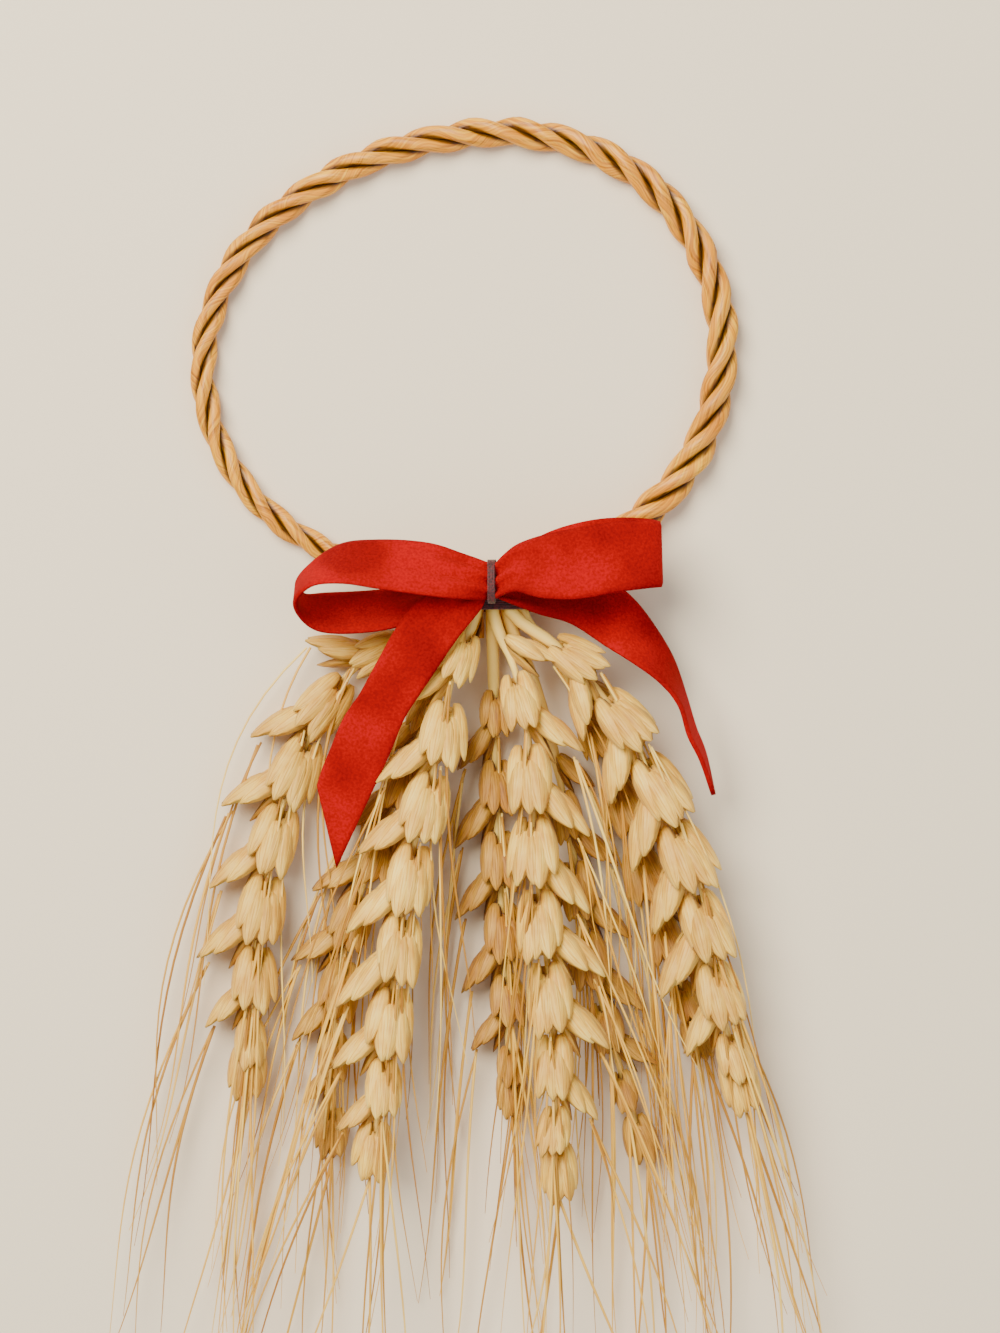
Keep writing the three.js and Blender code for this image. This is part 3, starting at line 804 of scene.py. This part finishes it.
def spikelet(ears, number):
    """One spikelet: two keeled glumes, the florets' scales between them and one at the back.

    X is the way its florets fan, Y its length and Z faces out from the ear."""
    parts = {"points": [], "faces": [], "uvs": [], "painted_shades": []}
    shake = [jitter(number * 20 + k, 1) for k in range(12)]
    # Each scale's last number is painted shade: more for the inner scales and most for the one at
    # the back.
    for side in (1, -1):
        k = 0 if side > 0 else 4
        add_scale(parts, ears, (side * 1.25, 0.2, 0.35), side * (9 + 4 * shake[k]), 5,
                  side * 52, (0.84 + 0.05 * shake[k + 1], 0.95), 0.1 + 0.1 * shake[k])
        add_scale(parts, ears, (side * 0.75, 2.0, 1.0), side * (5 + 4 * shake[k + 2]), 8,
                  side * 26, (0.9 + 0.08 * shake[k + 3], 0.9), 0.2 + 0.15 * shake[k + 2])
    add_scale(parts, ears, (0.3 * shake[8], 3.0, 1.5), 5 * shake[9], 6, 8 * shake[10],
              (0.74, 0.85), 0.3)
    add_scale(parts, ears, (0, 0.6, -0.2), 0, -4, 180, (0.85, 1.05), 0.6)
    return parts


def spikelet_kinds(ears, material):
    """A few different spikelets, kept in a collection of their own for the ears to pick from."""
    kinds = bpy.data.collections.new("spikelet_kinds")
    for number in range(5):
        parts = spikelet(ears, number)
        piece = new_piece("spikelet_kind_%d" % number, parts["points"], parts["faces"], material,
                          parts["uvs"], parts["painted_shades"])
        bpy.context.scene.collection.objects.unlink(piece)
        kinds.objects.link(piece)
    return kinds


def fullness(index, count):
    return min(1, 0.78 + 0.08 * index, 0.7 + 0.1 * (count - 1 - index))


def ear_rows(spec, ears):
    """One row for each spikelet: its place, length direction, facing, size, side and seed."""
    route = Route(spec["spine"])
    count = int((route.length - spec["first"]) / ears.pitch)
    rows = []
    for i in range(count):
        distance = spec["first"] + i * ears.pitch
        along = route.along(distance)
        across, above = frame_of(along)
        side = 1 if i % 2 == 0 else -1
        facing = side == spec["front"]
        out = across * side * (0.22 if facing else 0.95) + above * (0.97 if facing else 0.1)
        out.normalize()
        seed = spec["seed"] * 100 + i
        splay = math.radians(ears.splay * (0.5 if facing else 1) + jitter(seed, 4))
        direction = (along * math.cos(splay) + out * math.sin(splay)).normalized()
        face = (out - direction * out.dot(direction)).normalized()
        size = spec["size"] * fullness(i, count)
        place = route.at(distance) + out * 0.6 * size
        rows.append((place, direction, face, size, side, seed))
    end = route.length - 1
    along = route.along(end)
    rows.append((route.at(end - 2), along, frame_of(along)[1], spec["size"] * 0.8, 0,
                 spec["seed"] * 100 + 77))
    return rows


def turned(direction, face):
    """The angles that turn X, Y, Z to fan, length and facing."""
    fan = direction.cross(face).normalized()
    return Matrix((fan, direction, face)).transposed().to_euler("XYZ")


def ear_husks(name, spec, ears, kinds, material):
    rows = ear_rows(spec, ears)
    mesh = bpy.data.meshes.new(name)
    mesh.from_pydata([tuple(placed(row[0])) for row in rows], [], [])
    turns = [angle for row in rows for angle in turned(row[1], row[2])]
    mesh.attributes.new("turn", "FLOAT_VECTOR", "POINT").data.foreach_set("vector", turns)
    mesh.attributes.new("size", "FLOAT", "POINT").data.foreach_set("value", [r[3] for r in rows])
    source = bpy.data.objects.new(name, mesh)
    bpy.context.scene.collection.objects.link(source)
    husks = finished_by(spikelet_tree(), name, source, {
        "Kinds": kinds, "Seed": spec["seed"], "Full size": 1.0, "Material": material})
    # Painted shade: ears further back in the bundle are darkened by their depth.
    for value in husks.data.attributes["painted_shade"].data:
        value.value = min(1, value.value + 0.65 * spec["depth"])
    return husks


def awn_line(tip, start_direction, heading, reach, top_z, seed):
    """One awn: it leaves along its scale and bends to its own heading."""
    angle = math.radians(heading - 90)
    away = Vector((math.cos(angle), math.sin(angle), 0))
    bow = jitter(seed + 0.21, 0.09)
    side = Vector((-away.y, away.x, 0))
    line = []
    for k in range(AWN_STEPS + 1):
        share = k / AWN_STEPS
        early = start_direction * reach * share * (1 - share) ** 2 * 0.55
        spot = tip + away * reach * share + early + side * reach * bow * share * (1 - share) * 2
        spot.z = mix(tip.z, top_z, smooth(0, 1, share)) + jitter(seed + 0.4, 0.5) * share
        line.append(placed((spot.x, spot.y, max(spot.z, 0.3))))
    return line


def ear_awns(spec, ears):
    """The awns of one ear, as lines with their radii."""
    rows = ear_rows(spec, ears)
    lines, radii = [], []
    for place, direction, face, size, side, seed in rows:
        for copy in range(3):
            own = seed + copy * 31.7
            if copy == 2 and noise(own) < 0.5:
                continue
            tip = place + direction * ears.scale_length * size * (0.98 + 0.06 * copy) + face * 1.2
            lean = side if side else (-1 if copy else 1)
            heading = spec["aim"] + lean * spec["spread"] * (0.1 + 1.1 * noise(own + 0.5))
            broken = BROKEN_AWN_SHARE if noise(own + 0.9) < BROKEN_AWN_CHANCE else 1
            reach = spec["reach"] * (0.75 + 0.35 * noise(own + 0.7)) * broken
            reach = min(reach, (tip.y + LOWEST_TIP) / math.cos(math.radians(heading)))
            lines.append(awn_line(tip, direction, heading, reach, spec["awn_top"], own))
            steps = len(lines[-1]) - 1
            root = ears.awn_radius * MM * (0.8 + 0.4 * noise(own + 0.3))
            radii.append([root * (1 - 0.8 * (k / steps) ** 1.3) for k in range(steps + 1)])
    return lines, radii


def stem_lines(spec):
    """The bare stem of an ear, from its cut end at the tie to under its spikelets."""
    route = Route(spec["spine"])
    steps = 40
    line = [placed(route.at(route.length * k / steps)) for k in range(steps + 1)]
    bare = spec["first"] / route.length
    return [line], [[(0.9 - 0.4 * smooth(bare - 0.02, bare + 0.05, k / steps)) * MM
                     for k in range(steps + 1)]]


class ORNAMENT_OT_ears(bpy.types.Operator):
    """Makes the wheat ears: stems, spikelets and awns"""

    bl_idname = "ornament.ears"
    bl_label = "Wheat ears"

    def execute(self, context):
        ears = settings().ears
        husk = husk_material(ears)
        awn = awn_material(ears)
        kinds = spikelet_kinds(ears, husk)
        for node, spec in EARS.items():
            husks = ear_husks(node + "_husks", spec, ears, kinds, husk)
            stem = tubes(node + "_stem", *stem_lines(spec), 10, awn)
            awns = tubes(node + "_awns", *ear_awns(spec, ears), 5, awn)
            piece = joined("wheat_" + node, [husks, stem, awns])
            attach(piece, "root")
            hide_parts(node)
        for kind in list(kinds.objects):
            bpy.data.objects.remove(kind)
        bpy.data.collections.remove(kinds)
        return {"FINISHED"}


# ---------------------------------------------------------------- ribbon and threads


def ribbon_strip(rows, ribbon, lift, loops_back):
    """A strip of ribbon between two edges, gathered into folds at each end that is pinched."""
    edges = [Route([(*row[i][:2], row[i][2] + lift) for row in rows]) for i in (0, 1)]
    steps, lanes = 70, 14
    points, uvs = [], []
    for k in range(steps + 1):
        share = k / steps
        a, b = (edge.raw(share) for edge in edges)
        a2, b2 = (edge.raw(min(1, share + 0.004)) for edge in edges)
        a1, b1 = (edge.raw(max(0, share - 0.004)) for edge in edges)
        along = ((a2 + b2) - (a1 + b1)).normalized()
        across = (a - b).normalized()
        out = along.cross(across).normalized()
        gathered = max(0, 1 - share / 0.28)
        if loops_back:
            gathered = max(gathered, 1 - min(1, (1 - share) / 0.2))
        ring = []
        for lane in range(lanes + 1):
            place = lane / lanes
            spot = b.lerp(a, place)
            fold = 0.55 * gathered * math.sin(place * 5 * math.pi + 0.6)
            ring.append((spot + out * fold, place))
        thick = ribbon.thick / 2
        for lane in range(lanes, -1, -1):
            spot, place = ring[lane]
            slim = thick * (0.45 if lane in (0, lanes) else 1)
            points.append(placed(spot - out * slim))
            uvs.append((place * 10, share * 60))
        for spot, place in ring:
            slim = thick * (0.45 if place in (0, 1) else 1)
            points.append(placed(spot + out * slim))
            uvs.append((place * 10, share * 60))
    return points, ring_faces(steps + 1, 2 * (lanes + 1)), uvs


class ORNAMENT_OT_bow(bpy.types.Operator):
    """Makes the velvet ribbon bow with its two tails"""

    bl_idname = "ornament.bow"
    bl_label = "Velvet bow"

    def execute(self, context):
        ribbon = settings().ribbon
        velvet = velvet_material(ribbon)
        strips = []
        for name, rows, lift, loops_back in (
            ("left_loop", LEFT_LOOP, LOOP_LIFT, True), ("right_loop", RIGHT_LOOP, LOOP_LIFT, True),
            ("left_tail", LEFT_TAIL, 0, False), ("right_tail", RIGHT_TAIL, 0, False),
        ):
            points, faces, uvs = ribbon_strip(rows, ribbon, lift, loops_back)
            strips.append(new_piece(name, points, faces, velvet, uvs))
        piece = joined("velvet_bow", strips)
        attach(piece, "root")
        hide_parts("ribbon_bow")
        return {"FINISHED"}


def winding(centre, first, second, half_first, half_second, turns, width):
    """A line wound round an oval: turns lie side by side over a width."""
    normal = first.cross(second)
    steps = int(36 * turns)
    line = []
    for k in range(steps + 1):
        angle = TURN * turns * k / steps
        reach_first = math.copysign(abs(math.cos(angle)) ** 0.7, math.cos(angle))
        reach_second = math.copysign(abs(math.sin(angle)) ** 0.7, math.sin(angle))
        line.append(placed(centre + first * half_first * reach_first
                           + second * half_second * reach_second
                           + normal * width * (k / steps - 0.5)))
    return line


class ORNAMENT_OT_threads(bpy.types.Operator):
    """Makes the thread that pinches the bow and the one that binds the neck"""

    bl_idname = "ornament.threads"
    bl_label = "Threads"

    def execute(self, context):
        material = thread_material(settings().ribbon)
        middle = Vector((0, (PINCH["y_from"] + PINCH["y_to"]) / 2,
                         (PINCH["z_from"] + PINCH["z_to"]) / 2))
        along, side = Vector((0, 1, 0)), Vector((1, 0, 0))
        bow_line = winding(middle, along, UP, 3.0, 1.9, 4, 0.9)
        neck_line = winding(Vector((0, NECK["y"], NECK["z"])), side, UP, NECK["half_width"],
                            NECK["half_height"], 6, NECK["band"] - 0.4)
        for name, node, line, radius in (("bow_winding", "bow_thread", bow_line, 0.22),
                                         ("neck_winding", "neck_thread", neck_line, 0.24)):
            piece = tubes(name, [line], [[radius * MM] * len(line)], 8, material)
            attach(piece, "root")
            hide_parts(node)
        return {"FINISHED"}


# ---------------------------------------------------------------- stage


def area_light(name, place, target, size, power, tint):
    data = bpy.data.lights.new(name, "AREA")
    data.shape = "DISK"
    data.size = size
    data.energy = power
    data.color = linear(tint)[:3]
    lamp = bpy.data.objects.new(name, data)
    lamp.location = place
    lamp.rotation_euler = (Vector(target) - Vector(place)).to_track_quat("-Z", "Y").to_euler()
    bpy.context.scene.collection.objects.link(lamp)


class ORNAMENT_OT_stage(bpy.types.Operator):
    """Makes the floor, the lights and the camera that looks straight down"""

    bl_idname = "ornament.stage"
    bl_label = "Stage"

    def execute(self, context):
        stage = settings().stage
        board = new_piece("board", [(-1, -1, 0), (1, -1, 0), (1, 1, 0), (-1, 1, 0)],
                          [(0, 1, 2, 3)], floor_material(stage.floor_colour))
        area_light("key_light", placed((-260, 260, 560)), placed((0, -20, 0)), 0.5,
                   stage.key_power, "#FFF8EC")
        area_light("fill_light", placed((320, -200, 420)), placed((0, -20, 0)), 0.7,
                   stage.fill_power, "#EEF3FF")
        world = bpy.data.worlds.new("soft_room")
        world.use_nodes = True
        world.node_tree.nodes["Background"].inputs["Color"].default_value = linear("#F4F2EE")
        world.node_tree.nodes["Background"].inputs["Strength"].default_value = 0.45
        bpy.context.scene.world = world
        camera = bpy.data.objects.new("camera", bpy.data.cameras.new("camera"))
        camera.data.lens = 85
        seen_height = 199 * MM
        camera.location = placed((1.2, -11.7, 0)) + UP * (
            seen_height / camera.data.sensor_width * camera.data.lens)
        camera.data.clip_start = 0.01
        bpy.context.scene.collection.objects.link(camera)
        bpy.context.scene.camera = camera
        return {"FINISHED"}


# ---------------------------------------------------------------- panel and run


class ORNAMENT_PT_panel(bpy.types.Panel):
    """Lists the pieces of the ornament and their settings"""

    bl_label = "Straw ornament"
    bl_idname = "ORNAMENT_PT_panel"
    bl_space_type = "VIEW_3D"
    bl_region_type = "UI"
    bl_category = "Straw ornament"

    def draw(self, context):
        for group, steps in (("straw", ("ring",)), ("ears", ("ears",)),
                             ("ribbon", ("bow", "threads")), ("stage", ("stage",))):
            box = self.layout.box()
            chosen = getattr(context.scene.ornament, group)
            for key in chosen.__annotations__:
                box.prop(chosen, key)
            for step in steps:
                box.operator("ornament." + step)


CLASSES = (StrawSettings, EarSettings, RibbonSettings, StageSettings, OrnamentSettings,
           ORNAMENT_OT_ring, ORNAMENT_OT_ears, ORNAMENT_OT_bow, ORNAMENT_OT_threads,
           ORNAMENT_OT_stage, ORNAMENT_PT_panel)


def register():
    for kind in CLASSES:
        bpy.utils.register_class(kind)
    bpy.types.Scene.ornament = bpy.props.PointerProperty(type=OrnamentSettings)


def unregister():
    del bpy.types.Scene.ornament
    for kind in reversed(CLASSES):
        bpy.utils.unregister_class(kind)


def main():
    register()
    bpy.ops.ornament.ring()
    bpy.ops.ornament.ears()
    bpy.ops.ornament.bow()
    bpy.ops.ornament.threads()
    bpy.ops.ornament.stage()
    bpy.context.view_layer.update()


if __name__ == "__main__":
    main()
